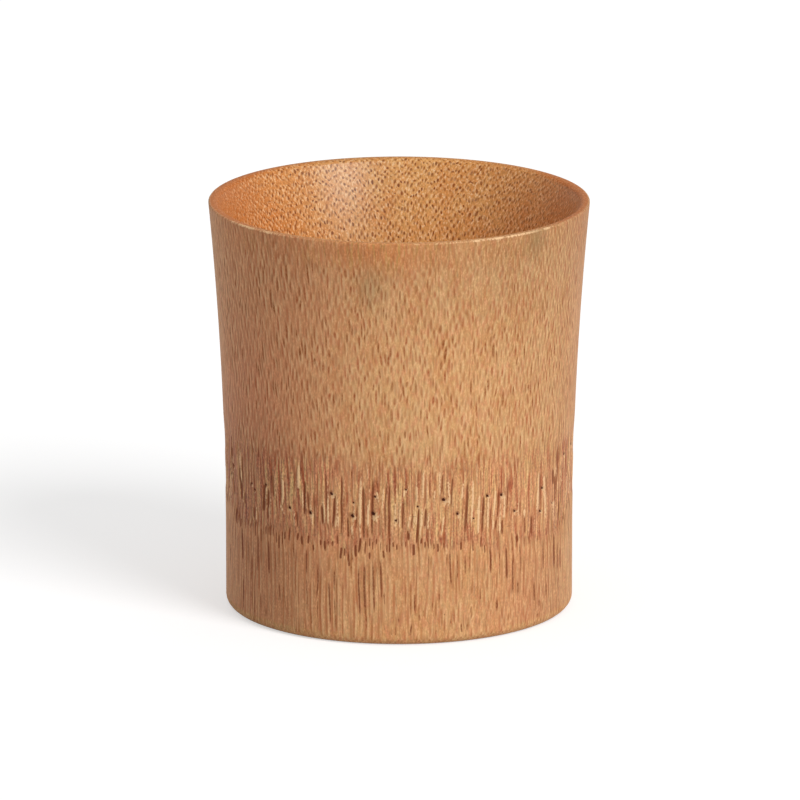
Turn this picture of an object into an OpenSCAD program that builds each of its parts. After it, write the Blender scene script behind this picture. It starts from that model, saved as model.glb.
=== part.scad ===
// Bamboo cup: a tumbler turned from one thick-walled culm, with the culm's own node as its floor.
// Every piece is a body of revolution about +Z, and the foot ring stands on the plane z = 0.

/* [Outside] */
// Diameter across the outside of the lip, before its edge is rounded
rim_d = 80; // [60:0.5:100]
// Height from the table to the top of the lip
height = 87; // [74:0.5:104]
// How far the lip stands out beyond the straight foot
side_flare = 3.5; // [1:0.1:7]
// Height at which the straight foot runs over into the flared side
straight_h = 14; // [8:0.5:22]
// Radius of the foot's rounded outer edge
foot_round = 2; // [0.8:0.1:3.5]

/* [Lip] */
// Thickness of the wall at the lip
lip_t = 1.8; // [1.4:0.1:3.2]
// Radius of the lip's outer edge
lip_round_out = 0.4; // [0.3:0.05:0.7]
// Radius of the lip's inner edge
lip_round_in = 1.2; // [0.5:0.05:1.5]

/* [Bowl] */
// Thickness of the wall at the bore, measured in from the straight foot
wall_t = 7.5; // [5:0.1:9]
// Height at which the bore opens out towards the lip
mouth_h = 50; // [42:0.5:64]
// Height of the floor above the table
floor_h = 27; // [22:0.5:36]
// Radius of the cove between the floor and the wall
cove_r = 6; // [3.5:0.25:9]

/* [Node] */
// Thickness of the natural cross wall
diaphragm_t = 5; // [4:0.1:8]
// How far the seat of the cross wall stands in from the foot ring
node_step = 0.8; // [0.4:0.1:1.6]
// Depth of the bevelled groove that holds the edge of the cross wall
groove_depth = 1.2; // [0.5:0.1:1.8]
// Height of the cross wall's edge at the bottom of the groove
groove_w = 2; // [1:0.1:2.4]

/* [Foot recess] */
// How far the foot ring stands in from the bore above the floor
foot_ring_step = 0.5; // [0.1:0.1:1.5]
// Radius of the cove between the cross wall's underside and the foot ring
recess_cove_r = 4; // [3:0.25:6]
// Radius of the foot's rounded inner edge
foot_round_in = 1; // [0.4:0.1:2]
// Height of the bare strip inside the foot ring
bare_h = 3; // [2.2:0.1:6]

/* [Lacquer] */
// Thickness of the clear film
film_t = 0.15; // [0.08:0.01:0.25]

/* [Hidden] */
$fn = 180;
// Steps along each of the long side curves
side_steps = 16;
// Steps along each rounded edge or cove
edge_steps = 8;

rim_r = rim_d / 2;
foot_r = rim_r - side_flare;
bowl_r = foot_r - wall_t;
recess_r = bowl_r - foot_ring_step;
seat_r = recess_r - node_step;
under_z = floor_h - diaphragm_t;
groove_z = floor_h - diaphragm_t / 2;

// The outer side is one arc, tangent to the straight foot, that ends at the lip's outer edge
side_rise = height - straight_h;
side_r = (pow(side_rise, 2) + pow(side_flare, 2)) / (2 * side_flare);
side_c = [foot_r + side_r, straight_h];
lip_out_z = height - lip_round_out;
lip_out_c = [
    side_c[0] - sqrt(pow(side_r + lip_round_out, 2) - pow(lip_out_z - straight_h, 2)),
    lip_out_z
];
side_end_a = direction(side_c, lip_out_c);

// The mouth of the bowl is a tighter arc, tangent to the bore, that thins the wall to the lip
mouth_flare = side_flare + wall_t - lip_t;
mouth_rise = height - mouth_h;
mouth_r = (pow(mouth_rise, 2) + pow(mouth_flare, 2)) / (2 * mouth_flare);
mouth_c = [bowl_r + mouth_r, mouth_h];
lip_in_z = height - lip_round_in;
lip_in_c = [
    mouth_c[0] - sqrt(pow(mouth_r - lip_round_in, 2) - pow(lip_in_z - mouth_h, 2)),
    lip_in_z
];
mouth_end_a = direction(mouth_c, lip_in_c);

// The seat of the cross wall meets the two coves at these angles
cove_c = [bowl_r - cove_r, floor_h + cove_r];
cove_seat_a = -acos((seat_r - cove_c[0]) / (cove_r + film_t));
recess_c = [recess_r - recess_cove_r, under_z - recess_cove_r];
recess_seat_a = acos((seat_r - recess_c[0]) / (recess_cove_r + film_t));

// Direction in degrees from one point to another
function direction(from, to) = atan2(to[1] - from[1], to[0] - from[0]);

// Points along an arc about c, without its first point, so that arcs can follow each other
function arc(c, r, from, to, steps) = [
    for (i = [1 : steps])
        let (a = from + (to - from) * i / steps)
        c + r * [cos(a), sin(a)]
];

function reversed(points) = [for (i = [len(points) - 1 : -1 : 0]) points[i]];
function without_first(points) = [for (i = [1 : len(points) - 1]) points[i]];
function last(points) = points[len(points) - 1];

// Each path runs along a face of the cup at a depth d below the finished surface:
// 0 is the face of the film, and film_t is the face of the bamboo under it.

// Up the outside, from the foot edge to the top of the lip's outer edge
function outer_path(d) = concat(
    [[foot_r - d, foot_round], [foot_r - d, straight_h]],
    arc(side_c, side_r + d, 180, side_end_a, side_steps),
    arc(lip_out_c, lip_round_out - d, side_end_a - 180, 90, edge_steps)
);

// Over the lip and down the inside, as far as the seat of the cross wall
function inner_path(d) = concat(
    [[lip_out_c[0], height - d], [lip_in_c[0], height - d]],
    arc(lip_in_c, lip_round_in - d, 90, mouth_end_a, edge_steps),
    arc(mouth_c, mouth_r - d, mouth_end_a, 180, side_steps),
    [[bowl_r + d, cove_c[1]]],
    arc(cove_c, cove_r + d, 0, cove_seat_a, edge_steps)
);

// From the seat along the floor to the axis
function floor_path(d) = concat(
    arc(cove_c, cove_r + d, cove_seat_a, -90, edge_steps),
    [[0, floor_h - d]]
);

// From the axis along the underside of the cross wall to its seat
function under_path(d) = concat(
    [[0, under_z + d], [recess_c[0], under_z + d]],
    arc(recess_c, recess_cove_r + d, 90, recess_seat_a, edge_steps)
);

// From the seat down the inside of the foot ring to the height z
function recess_path(d, z) = concat(
    arc(recess_c, recess_cove_r + d, recess_seat_a, 0, edge_steps),
    [[recess_r + d, z]]
);

// Bevelled edge of the cross wall in its groove, from the top down
function seat_path() = [
    [seat_r, groove_z + groove_w / 2 + groove_depth],
    [seat_r + groove_depth, groove_z + groove_w / 2],
    [seat_r + groove_depth, groove_z - groove_w / 2],
    [seat_r, groove_z - groove_w / 2 - groove_depth]
];

// Round the bare foot ring, from its rounded inner edge to its rounded outer edge
function foot_path() =
    let (
        inner_c = [recess_r + film_t + foot_round_in, foot_round_in],
        outer_c = [foot_r - film_t - foot_round, foot_round]
    )
    concat(
        arc(inner_c, foot_round_in, 180, 270, edge_steps),
        [[outer_c[0], 0]],
        arc(outer_c, foot_round, -90, 0, edge_steps)
    );

// A solid turned from its outline
module turned(outline) {
    rotate_extrude() polygon(outline);
}

// A film between its own face and the face of the bamboo that backs it
module film(face, backing) {
    turned(concat(face, reversed(backing)));
}

module culm_wall() {
    color([0.76, 0.55, 0.36])
        turned(concat(
            foot_path(),
            without_first(outer_path(film_t)),
            without_first(inner_path(film_t)),
            seat_path(),
            [last(under_path(film_t))],
            recess_path(film_t, foot_round_in)
        ));
}

module node_diaphragm() {
    color([0.82, 0.64, 0.44])
        turned(concat(
            under_path(film_t),
            reversed(seat_path()),
            [last(inner_path(film_t))],
            floor_path(film_t)
        ));
}

module lining_lacquer() {
    color([0.72, 0.46, 0.25])
        film(
            concat(inner_path(0), floor_path(0)),
            concat(inner_path(film_t), floor_path(film_t))
        );
}

module outer_lacquer() {
    color([0.80, 0.58, 0.38])
        film(outer_path(0), outer_path(film_t));
}

module underside_lacquer() {
    color([0.70, 0.48, 0.29])
        film(
            concat(under_path(0), recess_path(0, bare_h)),
            concat(under_path(film_t), recess_path(film_t, bare_h))
        );
}

culm_wall();
node_diaphragm();
lining_lacquer();
outer_lacquer();
underside_lacquer();
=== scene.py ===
"""Bamboo cup: the turned culm with its node, and the plain studio that it stands in."""

import math
from types import SimpleNamespace
from typing import NamedTuple

import bpy
import numpy as np
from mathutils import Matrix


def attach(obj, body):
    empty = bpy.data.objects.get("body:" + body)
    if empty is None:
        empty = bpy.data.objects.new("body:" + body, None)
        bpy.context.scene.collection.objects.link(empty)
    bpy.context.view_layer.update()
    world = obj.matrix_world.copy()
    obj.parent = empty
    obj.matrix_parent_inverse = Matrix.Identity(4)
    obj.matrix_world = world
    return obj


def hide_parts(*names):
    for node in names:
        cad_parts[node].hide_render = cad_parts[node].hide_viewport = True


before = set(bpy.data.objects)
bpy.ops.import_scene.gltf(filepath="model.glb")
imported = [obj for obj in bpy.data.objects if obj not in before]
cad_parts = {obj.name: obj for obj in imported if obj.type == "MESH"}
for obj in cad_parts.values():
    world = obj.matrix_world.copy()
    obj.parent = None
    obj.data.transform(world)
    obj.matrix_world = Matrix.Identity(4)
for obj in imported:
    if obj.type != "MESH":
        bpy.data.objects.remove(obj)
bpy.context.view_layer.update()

MM = 0.001

# Sizes of the cup in millimetres, as in its solids
HEIGHT = 87.0
RIM_R = 40.0
SIDE_FLARE = 3.5
STRAIGHT_H = 14.0
FOOT_ROUND = 2.0
LIP_T = 1.8
LIP_ROUND_OUT = 0.4
LIP_ROUND_IN = 1.2
WALL_T = 7.5
MOUTH_H = 50.0
FLOOR_H = 27.0
COVE_R = 6.0
DIAPHRAGM_T = 5.0
NODE_STEP = 0.8
FOOT_RING_STEP = 0.5
RECESS_COVE_R = 4.0
FOOT_ROUND_IN = 1.0

FOOT_R = RIM_R - SIDE_FLARE
BOWL_R = FOOT_R - WALL_T
RECESS_R = BOWL_R - FOOT_RING_STEP
SEAT_R = RECESS_R - NODE_STEP
UNDER_Z = FLOOR_H - DIAPHRAGM_T

# Camera that gives the photograph's view: distances in millimetres, picture in pixels
PICTURE = 800
FOCAL = 11888.0
CAMERA_DISTANCE = 2500.0
CAMERA_ELEVATION = math.radians(14.27)
AIM_Z = 43.63
AXIS_COLUMN = 399.1
SENSOR = 36.0

# Columns of the meshes, heights of the rough band at the node, and strips in which the columns double
COLUMNS = 300
BAND_COLUMNS = 4 * COLUMNS
BAND = (18.0, 42.0)
BAND_LEAD = 1.5
FOOT_LEAD = 0.5


# Outline of the cup

def tangent_radius(flare, rise):
    """Radius of an arc that starts upright and moves out by flare over rise."""
    return (rise**2 + flare**2) / (2 * flare)


def arc(centre, radius, start, end, steps):
    """Points (radius, height) along an arc, with both ends; angles in degrees."""
    angle = np.radians(np.linspace(start, end, steps + 1))
    return np.stack([centre[0] + radius * np.cos(angle), centre[1] + radius * np.sin(angle)], 1)


SIDE_R = tangent_radius(SIDE_FLARE, HEIGHT - STRAIGHT_H)
SIDE_X = FOOT_R + SIDE_R
MOUTH_FLARE = SIDE_FLARE + WALL_T - LIP_T
MOUTH_R = tangent_radius(MOUTH_FLARE, HEIGHT - MOUTH_H)
MOUTH_X = BOWL_R + MOUTH_R

# Coves above and below the floor: their centres, and the angles at which the floor's seat cuts them
COVE = (BOWL_R - COVE_R, FLOOR_H + COVE_R)
COVE_SEAT = -math.degrees(math.acos((SEAT_R - COVE[0]) / COVE_R))
HOLLOW = (RECESS_R - RECESS_COVE_R, UNDER_Z - RECESS_COVE_R)
HOLLOW_SEAT = math.degrees(math.acos((SEAT_R - HOLLOW[0]) / RECESS_COVE_R))


def side_radius(z):
    """Radius of the outside at a height, between the foot edge and the lip edge."""
    rise = np.clip(z - STRAIGHT_H, 0, None)
    return SIDE_X - np.sqrt(SIDE_R**2 - rise**2)


def mouth_radius(z):
    """Radius of the inside at a height, between the cove and the lip edge."""
    rise = np.clip(z - MOUTH_H, 0, None)
    return MOUTH_X - np.sqrt(MOUTH_R**2 - rise**2)


def heights(start, end, step):
    """Even heights from start to end."""
    return np.linspace(start, end, max(2, round(abs(end - start) / step) + 1))


def upright(z, radius):
    """Outline through some heights, with a function that gives the radius at each."""
    return np.stack([radius(z), z], 1)


def joined(*parts, gap=1e-6):
    """Parts of an outline as one, without the points that repeat."""
    points = np.concatenate(parts)
    apart = np.linalg.norm(np.diff(points, axis=0), axis=1) > gap
    return points[np.concatenate([[True], apart])]


def lip_outline():
    """Round the lip from the inside to the outside, as its inner edge and its outer edge."""
    z_in = HEIGHT - LIP_ROUND_IN
    z_out = HEIGHT - LIP_ROUND_OUT
    x_in = MOUTH_X - math.sqrt((MOUTH_R - LIP_ROUND_IN) ** 2 - (z_in - MOUTH_H) ** 2)
    x_out = SIDE_X - math.sqrt((SIDE_R + LIP_ROUND_OUT) ** 2 - (z_out - STRAIGHT_H) ** 2)
    start = math.degrees(math.atan2(z_in - MOUTH_H, x_in - MOUTH_X))
    end = math.degrees(math.atan2(z_out - STRAIGHT_H, x_out - SIDE_X)) - 180
    inner = arc((x_in, z_in), LIP_ROUND_IN, start, 90, steps=7)
    outer = arc((x_out, z_out), LIP_ROUND_OUT, 90, end, steps=6)
    return inner, outer


def foot_outline():
    """Round the foot ring, from its outer edge to its inner edge."""
    outer = (FOOT_R - FOOT_ROUND, FOOT_ROUND)
    inner = (RECESS_R + FOOT_ROUND_IN, FOOT_ROUND_IN)
    flat = np.linspace(outer[0], inner[0], num=6)
    return joined(
        arc(outer, FOOT_ROUND, 0, -90, steps=6),
        np.stack([flat, np.zeros_like(flat)], 1),
        arc(inner, FOOT_ROUND_IN, 270, 180, steps=4),
    )


def recess_outline():
    """Up the inside of the foot ring to the seat of the floor."""
    z = heights(FOOT_ROUND_IN, HOLLOW[1], step=2.5)
    return joined(
        np.stack([np.full(len(z), RECESS_R), z], 1),
        arc(HOLLOW, RECESS_COVE_R, 0, HOLLOW_SEAT, steps=5),
    )


# Places on the outside, read from the photograph

def on_side(column, row, passes=30, limb=0.999):
    """Angle and height of the point of the side at a place in the picture."""
    sin_e = math.sin(CAMERA_ELEVATION)
    cos_e = math.cos(CAMERA_ELEVATION)
    angle = 0.0
    z = AIM_Z
    for _ in range(passes):
        r = float(side_radius(np.array(z)))
        depth = CAMERA_DISTANCE - r * math.cos(angle) * cos_e - (z - AIM_Z) * sin_e
        across = (column - AXIS_COLUMN) * depth / FOCAL / r
        angle = math.asin(max(-limb, min(limb, across)))
        up = (PICTURE / 2 - row) * depth / FOCAL
        z = AIM_Z + (up + r * math.cos(angle) * sin_e) / cos_e
    return angle, z


# Fields round the cup

def noise(angle, z, seed, around, tall, rows=97):
    """Smooth random field from -1 to 1, by a seed, its cells round the cup and the height of a cell."""
    table = np.random.default_rng(seed).uniform(-1, 1, (rows, around))
    x = angle / (2 * np.pi) % 1 * around
    y = z / tall + rows / 3
    i = np.floor(x).astype(int)
    j = np.floor(y).astype(int)
    fx = step_between(0, 1, x - i)
    fy = step_between(0, 1, y - j)
    low = table[j % rows, i % around] * (1 - fx) + table[j % rows, (i + 1) % around] * fx
    high = table[(j + 1) % rows, i % around] * (1 - fx) + table[(j + 1) % rows, (i + 1) % around] * fx
    return low * (1 - fy) + high * fy


def step_between(low, high, x):
    """0 below low, 1 above high, smooth between."""
    t = np.clip((x - low) / (high - low), 0, 1)
    return t * t * (3 - 2 * t)


def turn(angle, centre):
    """Angle from a centre, between -pi and pi."""
    return (angle - centre + np.pi) % (2 * np.pi) - np.pi


def patch(angle, centre, width):
    """1 at an angle round the cup, fading on both sides of it."""
    return np.exp(-((turn(angle, centre) / width) ** 2))


def belt(z, centre, width):
    """1 at a height, fading above and below it."""
    return np.exp(-(((z - centre) / width) ** 2))


# Patches that differ from the rest of the cup: angle of the middle from the front, and half width
LEFT_SIDE = (-0.95, 0.5)
LEFT_END = (-1.25, 0.35)
# Painted shade towards the right edge of the outside
RIGHT_EDGE_SHADE = (1.1, 0.3)
RIGHT_TOP = (0.5, 0.4)
RIGHT_FOOT = (0.8, 0.4)
FRONT_LIP = (-0.1, 0.34)
# Painted highlight along the lip's outer edge, strongest at these two patches
LIP_HIGHLIGHT_RIGHT = (0.65, 0.45)
LIP_HIGHLIGHT_LEFT = (-0.85, 0.3)
# Painted bounce light on the inside's left wall, which faces the light
INNER_LEFT_BOUNCE = (-1.7, 0.9)
INNER_RIGHT = (1.75, 0.65)
# Painted sheen inside, where the coat's highlight falls: base dulled towards grey and dots deepened
SHEEN = (-2.85, 0.35)
SHORT_RIGHT = (0.55, 0.5)
SHORT_BACK = (-2.2, 0.7)

# Angle from the front up to which marks show, and angles between which the back takes over
SEEN = 1.08
BACK = (1.1, 1.3)
BACK_LIP = (1.3, 1.8)

# Lower edge of the node's band, as columns and rows of the photograph
FRINGE = (
    (226, 521), (250, 523), (270, 528), (285, 532), (300, 537), (312, 538), (323, 543), (333, 545),
    (348, 556), (360, 543), (380, 542), (392, 545), (403, 544), (413, 549), (421, 541), (432, 543),
    (450, 550), (461, 545), (474, 543), (491, 550), (506, 551), (514, 538), (530, 540), (546, 538),
    (560, 530), (572, 528),
)
BACK_FRINGE_Z = 23.5


def fringe_height(angle):
    """Height of the scalloped lower edge of the node's band."""
    places = np.array([on_side(*p) for p in FRINGE])
    angle = turn(angle, 0)
    front = np.interp(angle, places[:, 0], places[:, 1])
    scallops = 1.3 * np.abs(np.sin(5.5 * angle))
    swells = 0.7 * np.sin(3 * angle + 1)
    back = BACK_FRINGE_Z + scallops + swells + 0.9 * noise(angle, 0 * angle, 47, 44, 50)
    share = step_between(*BACK, np.abs(angle))
    return front * (1 - share) + back * share


# Lean of the fibres at each height: how far they move through the wall for each millimetre up
LEAN = (
    (-5, 0.07), (8, 0.05), (14, 0.045), (19, 0.05), (21, 0.09), (24, 0.09), (26, 0.05), (38, 0.05),
    (44, 0.14), (90, 0.15),
)

# The same over the lip's inner edge, and for the short fibres below a height of the foot
LIP_LEAN = 0.85
SHORT_LEAN = 0.16
SHORT_TOP = 9.5

# Height and reach of the fibres' bend at the node, and heights between which they wind more and less
NODE_BEND = (22.5, 9.0)
FRINGE_Z = 23.0
ROUGH_FOOT = (20, 26)
ROUGH_TOP = (35, 42)


def fibre_shift(angle, z):
    """How far the bundles are shifted round the cup, in bundles, and through its wall, in millimetres."""
    knots = np.array(LEAN)
    fine = np.linspace(knots[0, 0], knots[-1, 0], num=2000)
    lean = np.interp(fine, knots[:, 0], knots[:, 1])
    through = np.concatenate([[0], np.cumsum((lean[1:] + lean[:-1]) / 2 * np.diff(fine))])
    level = z - (fringe_height(angle) - FRINGE_Z) * belt(z, *NODE_BEND)
    shift = -np.interp(level, fine, through) * (1 - 0.35 * patch(angle, *LEFT_SIDE))
    shift += 0.5 * noise(angle, z, 11, 10, 34)
    shift += 0.22 * noise(angle, z, 12, 26, 13)
    short = patch(angle, *SHORT_RIGHT) + 0.6 * patch(angle, *SHORT_BACK)
    shift += SHORT_LEAN * np.clip(SHORT_TOP - z, 0, None) * short
    rough = step_between(*ROUGH_FOOT, z) * (1 - step_between(*ROUGH_TOP, z))
    across = 0.7 * noise(angle, z, 13, 24, 20)
    across += 0.35 * noise(angle, z, 14, 80, 9)
    across += rough * 1.1 * noise(angle, z, 15, 60, 6)
    return across, shift


# Marks of the node in the photograph: column and row of the upper end, column of the lower end where it
# differs, row of the lower end, and width
DARK_MARKS = (
    (372, 476, 541, 3.0), (386, 475, 385, 540, 2.6), (389, 478, 544, 2.8), (363, 482, 544, 3.6),
    (347, 515, 348, 541, 3.0), (357, 503, 355, 531, 2.6), (351, 532, 541, 2.4), (380, 517, 539, 2.6),
    (367, 527, 541, 2.6), (376, 478, 377, 491, 2.4), (398, 482, 498, 2.2), (406, 480, 491, 2.2),
    (403, 498, 402, 532, 3.0), (419, 505, 417, 546, 3.0), (413, 511, 411, 531, 2.4),
    (426, 507, 425, 529, 3.0), (408, 529, 542, 2.8), (443, 473, 442, 496, 2.8), (453, 475, 451, 511, 3.0),
    (446, 503, 524, 2.4), (341, 470, 541, 2.8), (369, 463, 370, 481, 2.4), (430, 477, 502, 2.4),
    (441, 521, 531, 2.2), (264, 483, 263, 513, 3.2), (268, 487, 267, 522, 2.6), (279, 469, 280, 505, 2.4),
    (304, 479, 517, 3.0), (307, 491, 308, 511, 2.4), (313, 489, 314, 531, 2.6), (325, 471, 326, 509, 2.4),
    (335, 493, 332, 531, 3.2), (321, 504, 322, 526, 3.0), (296, 509, 297, 529, 2.4),
    (272, 468, 273, 501, 2.2), (248, 468, 486, 2.0), (240, 477, 242, 501, 2.0), (329, 464, 491, 2.0),
    (317, 469, 501, 2.0), (254, 505, 521, 2.2), (236, 507, 237, 525, 2.2), (469, 477, 465, 538, 3.4),
    (477, 496, 475, 516, 2.4), (485, 493, 482, 537, 3.4), (499, 489, 498, 523, 2.6),
    (509, 474, 507, 521, 2.6), (492, 504, 490, 531, 2.6), (521, 499, 518, 2.6), (515, 514, 531, 2.2),
    (541, 469, 512, 2.4), (536, 491, 535, 516, 2.2), (547, 474, 548, 496, 2.2), (525, 514, 526, 536, 2.8),
    (532, 514, 536, 2.8), (553, 504, 552, 541, 2.4), (560, 499, 559, 521, 2.0), (503, 519, 536, 3.2),
    (497, 519, 496, 531, 3.0), (481, 469, 483, 2.0), (554, 468, 486, 2.4),
)
PALE_MARKS = (
    (361, 472, 360, 531, 3.0), (376, 490, 379, 504, 3.0), (405, 489, 403, 499, 3.0), (417, 479, 503, 2.8),
    (417, 514, 416, 527, 2.8), (351, 525, 352, 535, 2.8), (448, 479, 450, 506, 3.0), (440, 470, 497, 2.6),
    (445, 514, 441, 538, 3.2), (429, 511, 428, 531, 2.8), (375, 514, 378, 524, 2.6),
    (464, 479, 462, 502, 3.2), (474, 477, 471, 527, 3.6), (480, 494, 478, 536, 3.2),
    (489, 496, 488, 531, 2.6), (496, 489, 494, 516, 2.8), (505, 494, 504, 521, 3.4),
    (500, 513, 501, 533, 2.4), (544, 469, 546, 521, 3.4), (538, 489, 512, 2.6), (554, 499, 553, 523, 2.8),
    (525, 508, 519, 2.8), (298, 464, 491, 3.6), (302, 489, 303, 511, 2.8), (310, 503, 312, 527, 3.2),
    (328, 491, 526, 3.6), (266, 486, 265, 501, 2.2), (283, 479, 282, 506, 2.6), (279, 503, 285, 515, 2.8),
    (322, 499, 325, 510, 2.6), (268, 503, 516, 2.2), (337, 504, 338, 531, 2.8), (368, 504, 527, 3.4),
    (424, 469, 423, 501, 2.4), (435, 489, 434, 503, 2.4), (383, 486, 512, 2.4), (395, 500, 532, 2.6),
    (410, 515, 408, 529, 2.6),
)
FOOT_MARKS = (
    (242, 525, 243, 562, 2.4), (248, 535, 568, 2.4), (252, 550, 251, 584, 2.6), (258, 530, 576, 2.8),
    (268, 537, 269, 578, 2.8), (275, 548, 276, 576, 2.6), (254, 585, 255, 618, 2.2),
    (260, 590, 261, 612, 2.4), (266, 607, 618, 2.2), (279, 533, 550, 2.4), (285, 531, 541, 2.6),
    (279, 580, 280, 602, 2.4), (283, 583, 286, 614, 2.4), (293, 540, 294, 560, 2.6),
    (293, 583, 294, 600, 2.2), (298, 532, 297, 541, 2.4), (301, 535, 302, 545, 2.6), (308, 535, 545, 2.8),
    (306, 547, 577, 2.6), (306, 573, 307, 619, 2.2), (313, 543, 314, 552, 2.6), (318, 560, 317, 602, 2.8),
    (318, 598, 622, 2.2), (311, 612, 312, 625, 2.2), (320, 538, 321, 547, 2.4), (324, 540, 325, 551, 2.6),
    (328, 540, 546, 2.2), (332, 540, 546, 2.4), (337, 534, 545, 2.6), (341, 547, 340, 560, 2.8),
    (329, 578, 330, 628, 2.8), (334, 566, 335, 598, 2.6), (334, 592, 335, 635, 2.2),
    (348, 551, 349, 568, 3.0), (352, 552, 353, 565, 2.4), (355, 544, 356, 558, 3.0),
    (360, 538, 359, 554, 2.8), (344, 548, 556, 2.2), (358, 562, 360, 619, 2.8), (364, 558, 365, 619, 3.2),
    (366, 615, 367, 630, 2.2), (370, 551, 560, 2.4), (371, 560, 372, 625, 2.0), (373, 555, 374, 618, 3.0),
    (376, 555, 379, 605, 2.2), (380, 556, 382, 603, 3.0), (383, 549, 384, 560, 2.8),
    (384, 590, 385, 607, 2.4), (393, 542, 548, 2.6), (402, 540, 550, 2.4), (397, 543, 551, 2.2),
    (406, 540, 549, 2.4), (409, 532, 541, 2.8), (414, 544, 557, 3.0), (418, 532, 417, 544, 2.6),
    (422, 537, 421, 545, 2.4), (425, 541, 549, 2.2), (431, 538, 547, 2.6), (434, 542, 551, 2.2),
    (438, 543, 553, 2.4), (444, 541, 551, 2.2), (428, 550, 429, 583, 2.6), (416, 560, 417, 590, 1.8),
    (420, 560, 578, 1.8), (396, 592, 397, 612, 2.0), (415, 592, 614, 2.6), (404, 605, 617, 2.0),
    (398, 615, 399, 625, 2.6), (391, 625, 392, 640, 2.4), (395, 622, 396, 640, 2.6), (411, 622, 641, 2.8),
    (419, 612, 622, 2.4), (423, 606, 618, 2.4), (432, 601, 613, 2.6), (439, 591, 604, 2.8),
    (436, 628, 640, 2.4), (447, 552, 568, 2.6), (450, 546, 451, 589, 2.8), (457, 549, 583, 2.8),
    (444, 612, 445, 618, 2.6), (450, 617, 629, 2.6), (461, 541, 551, 2.6), (465, 552, 577, 2.6),
    (469, 552, 571, 2.0), (473, 538, 553, 2.6), (477, 543, 580, 2.2), (474, 580, 597, 2.4),
    (462, 576, 592, 2.2), (480, 585, 603, 2.6), (488, 595, 489, 606, 2.4), (490, 545, 491, 576, 3.0),
    (499, 542, 500, 580, 2.4), (506, 545, 507, 582, 3.2), (512, 535, 554, 2.8), (513, 550, 598, 2.8),
    (518, 533, 543, 2.8), (518, 578, 597, 2.8), (520, 540, 521, 578, 2.6), (523, 545, 559, 2.0),
    (515, 555, 580, 1.8), (543, 535, 573, 2.8), (554, 530, 572, 2.4), (534, 580, 604, 2.8),
    (539, 597, 607, 2.8), (546, 580, 597, 2.4), (505, 600, 506, 614, 2.4), (497, 598, 613, 2.8),
    (471, 604, 614, 2.4), (466, 604, 611, 2.0), (476, 614, 628, 2.6), (467, 621, 632, 2.6),
    (461, 622, 462, 638, 3.0), (485, 618, 630, 2.6), (495, 625, 634, 2.4), (516, 610, 517, 620, 2.6),
    (522, 608, 619, 2.2), (526, 600, 614, 2.2), (537, 612, 621, 2.4), (528, 590, 611, 2.0),
    (503, 604, 613, 2.0), (512, 617, 511, 630, 2.2), (552, 607, 615, 2.2), (560, 545, 570, 1.8),
)

# Pits in the photograph: column, row and radius
PITS = (
    (331, 494, 1.6), (310, 513, 1.7), (289, 508, 1.5), (352, 516, 1.8), (375, 497, 1.2), (373, 514, 2.0),
    (444, 500, 1.7), (458, 514, 1.4), (488, 496, 1.4), (502, 495, 1.7), (543, 488, 1.3), (541, 511, 1.4),
    (515, 511, 1.3), (396, 521, 1.0), (406, 490, 1.0), (418, 507, 0.9), (230, 470, 1.2), (251, 484, 1.0),
    (265, 485, 1.2), (254, 490, 1.0), (553, 503, 1.0), (562, 480, 1.0), (353, 503, 0.9), (474, 519, 0.9),
)

# Stains in the photograph: column, row, radius in millimetres and depth
STAINS = ((537, 239, 2.4, 0.8), (371, 288, 3.0, 0.7))

# Dashes along the edges of the band: how many, their width, and the height of the upper ones
FRINGE_COUNT = 330
TEETH_COUNT = 230
DASH_WIDTH = (0.34, 0.48)
TEETH_Z = 38.0


def random_marks(seed, count, length, middle, width):
    """Marks of the back: angle, top, bottom, lean and width."""
    rng = np.random.default_rng(seed)
    angle = rng.uniform(SEEN, 2 * np.pi - SEEN, count)
    half = rng.uniform(*length, count) / 2
    centre = rng.uniform(*middle, count)
    lean = rng.normal(0, 0.04, count)
    return np.stack([angle, centre + half, centre - half, lean, rng.uniform(*width, count)], 1)


def seen_marks(marks, least_facing=0.45):
    """Marks of the photograph in the same form."""
    found = []
    for column, top, *other, bottom, width in marks:
        upper = on_side(column, top)
        lower = on_side(*other or [column], bottom)
        radius = float(side_radius(np.array(lower[1])))
        tall = upper[1] - lower[1]
        lean = (upper[0] - lower[0]) * radius / tall
        pixel = (CAMERA_DISTANCE / FOCAL) / max(least_facing, math.cos(lower[0]))
        found.append([(upper[0] + lower[0]) / 2, upper[1], lower[1], lean, width * pixel])
    return np.array(found)


def side_by_side(count, rng, uneven=0.006):
    """Angles of marks that stand nearly evenly round the cup."""
    return np.linspace(0, 2 * np.pi, count, endpoint=False) + rng.normal(0, uneven, count)


def fringe_marks():
    """Short dashes along the lower edge of the node's band."""
    rng = np.random.default_rng(31)
    angle = side_by_side(FRINGE_COUNT, rng)
    scatter = np.where(np.abs(turn(angle, 0)) < SEEN, 0.4, 1.0)
    top = fringe_height(angle) + 0.7 + scatter * rng.normal(0, 1, FRINGE_COUNT)
    length = rng.uniform(1.8, 3.8, FRINGE_COUNT)
    width = rng.uniform(*DASH_WIDTH, FRINGE_COUNT)
    return np.stack([angle, top, top - length, np.zeros(FRINGE_COUNT), width], 1)


def upper_teeth():
    """Short, faint dashes along the upper edge of the node's band."""
    rng = np.random.default_rng(32)
    angle = side_by_side(TEETH_COUNT, rng)
    top = TEETH_Z + 1.2 * noise(angle, 0 * angle, 46, 26, 50)
    top += rng.normal(0, 0.6, TEETH_COUNT)
    length = rng.uniform(1.5, 4.5, TEETH_COUNT)
    lean = rng.normal(0, 0.03, TEETH_COUNT)
    return np.stack([angle, top, top - length, lean, rng.uniform(*DASH_WIDTH, TEETH_COUNT)], 1)


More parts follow.
